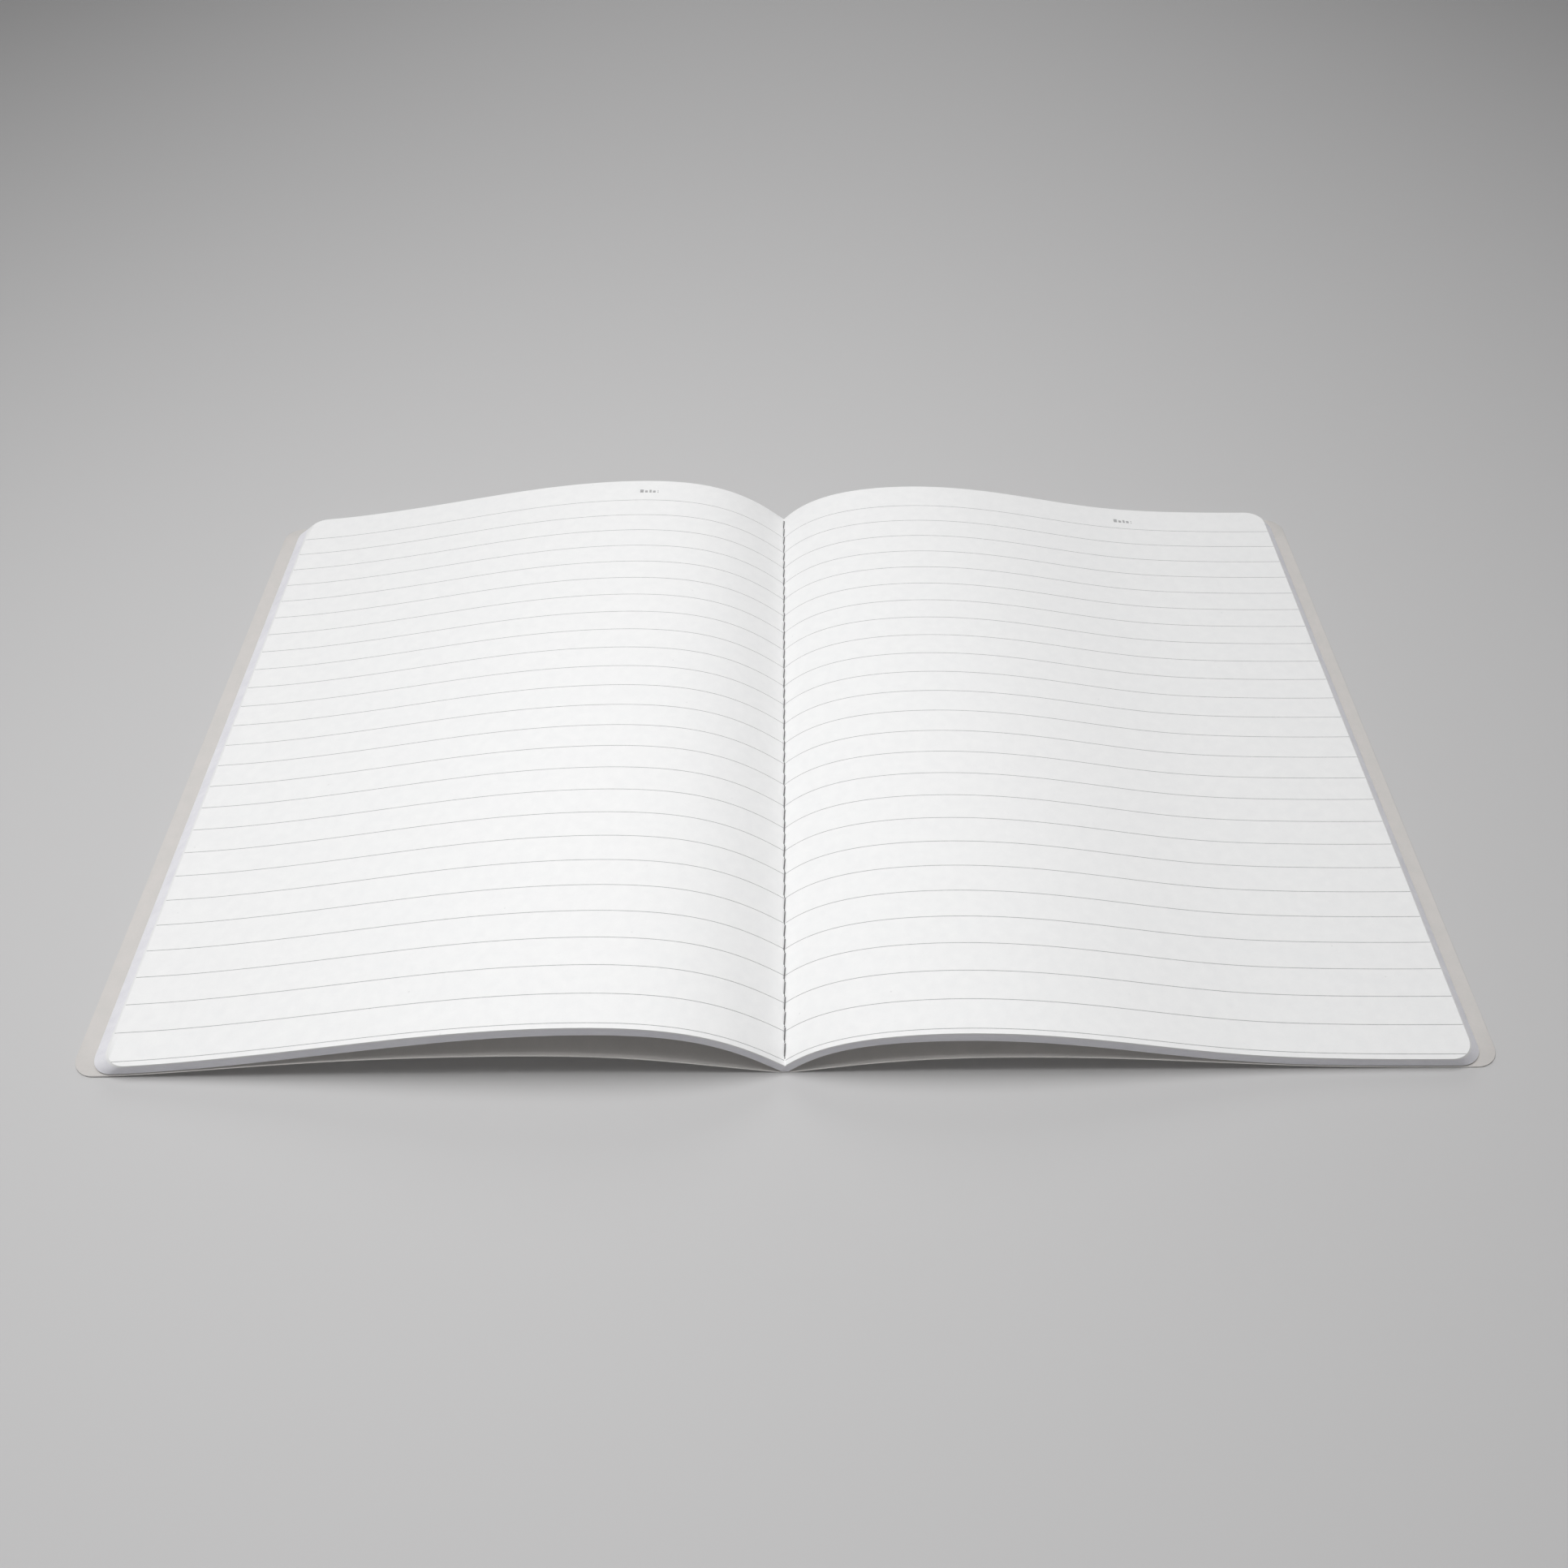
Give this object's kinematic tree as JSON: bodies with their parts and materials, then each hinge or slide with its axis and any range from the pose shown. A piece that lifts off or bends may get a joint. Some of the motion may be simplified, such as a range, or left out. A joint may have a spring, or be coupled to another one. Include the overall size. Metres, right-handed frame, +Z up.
{
  "type": "composition notebook",
  "caption": "Soft-covered composition notebook lying open at its middle spread, with ruled leaves sewn through the fold.",
  "frame": {"origin": "on the table under the middle of the spine, half way between head and tail", "axes": "+X across the spread to the reader's right, +Y along the spine to the head of the page, +Z up from the table"},
  "size_m": [0.3821, 0.2476, 0.0211],
  "materials": {
    "ruled_paper": "uncoated, matt",
    "cover_card": "uncoated, matt",
    "grey_thread": "spun, matt"
  },
  "bodies": {
    "sewn_block": {"pages": "ruled_paper", "cover_spine": "cover_card", "needle_thread": "grey_thread", "bobbin_thread": "grey_thread"},
    "front": {"front_cover": "cover_card"},
    "back": {"back_cover": "cover_card"}
  },
  "joints": [
    {"name": "front_cover_hinge", "type": "hinge", "parent": "sewn_block", "child": "front", "pos_m": [-0.002, 0, 0.00022], "axis": [0, 1, 0], "range_deg": [-90, 0]},
    {"name": "back_cover_hinge", "type": "hinge", "parent": "sewn_block", "child": "back", "pos_m": [0.002, 0, 0.00022], "axis": [0, 1, 0], "range_deg": [0, 90]}
  ]
}
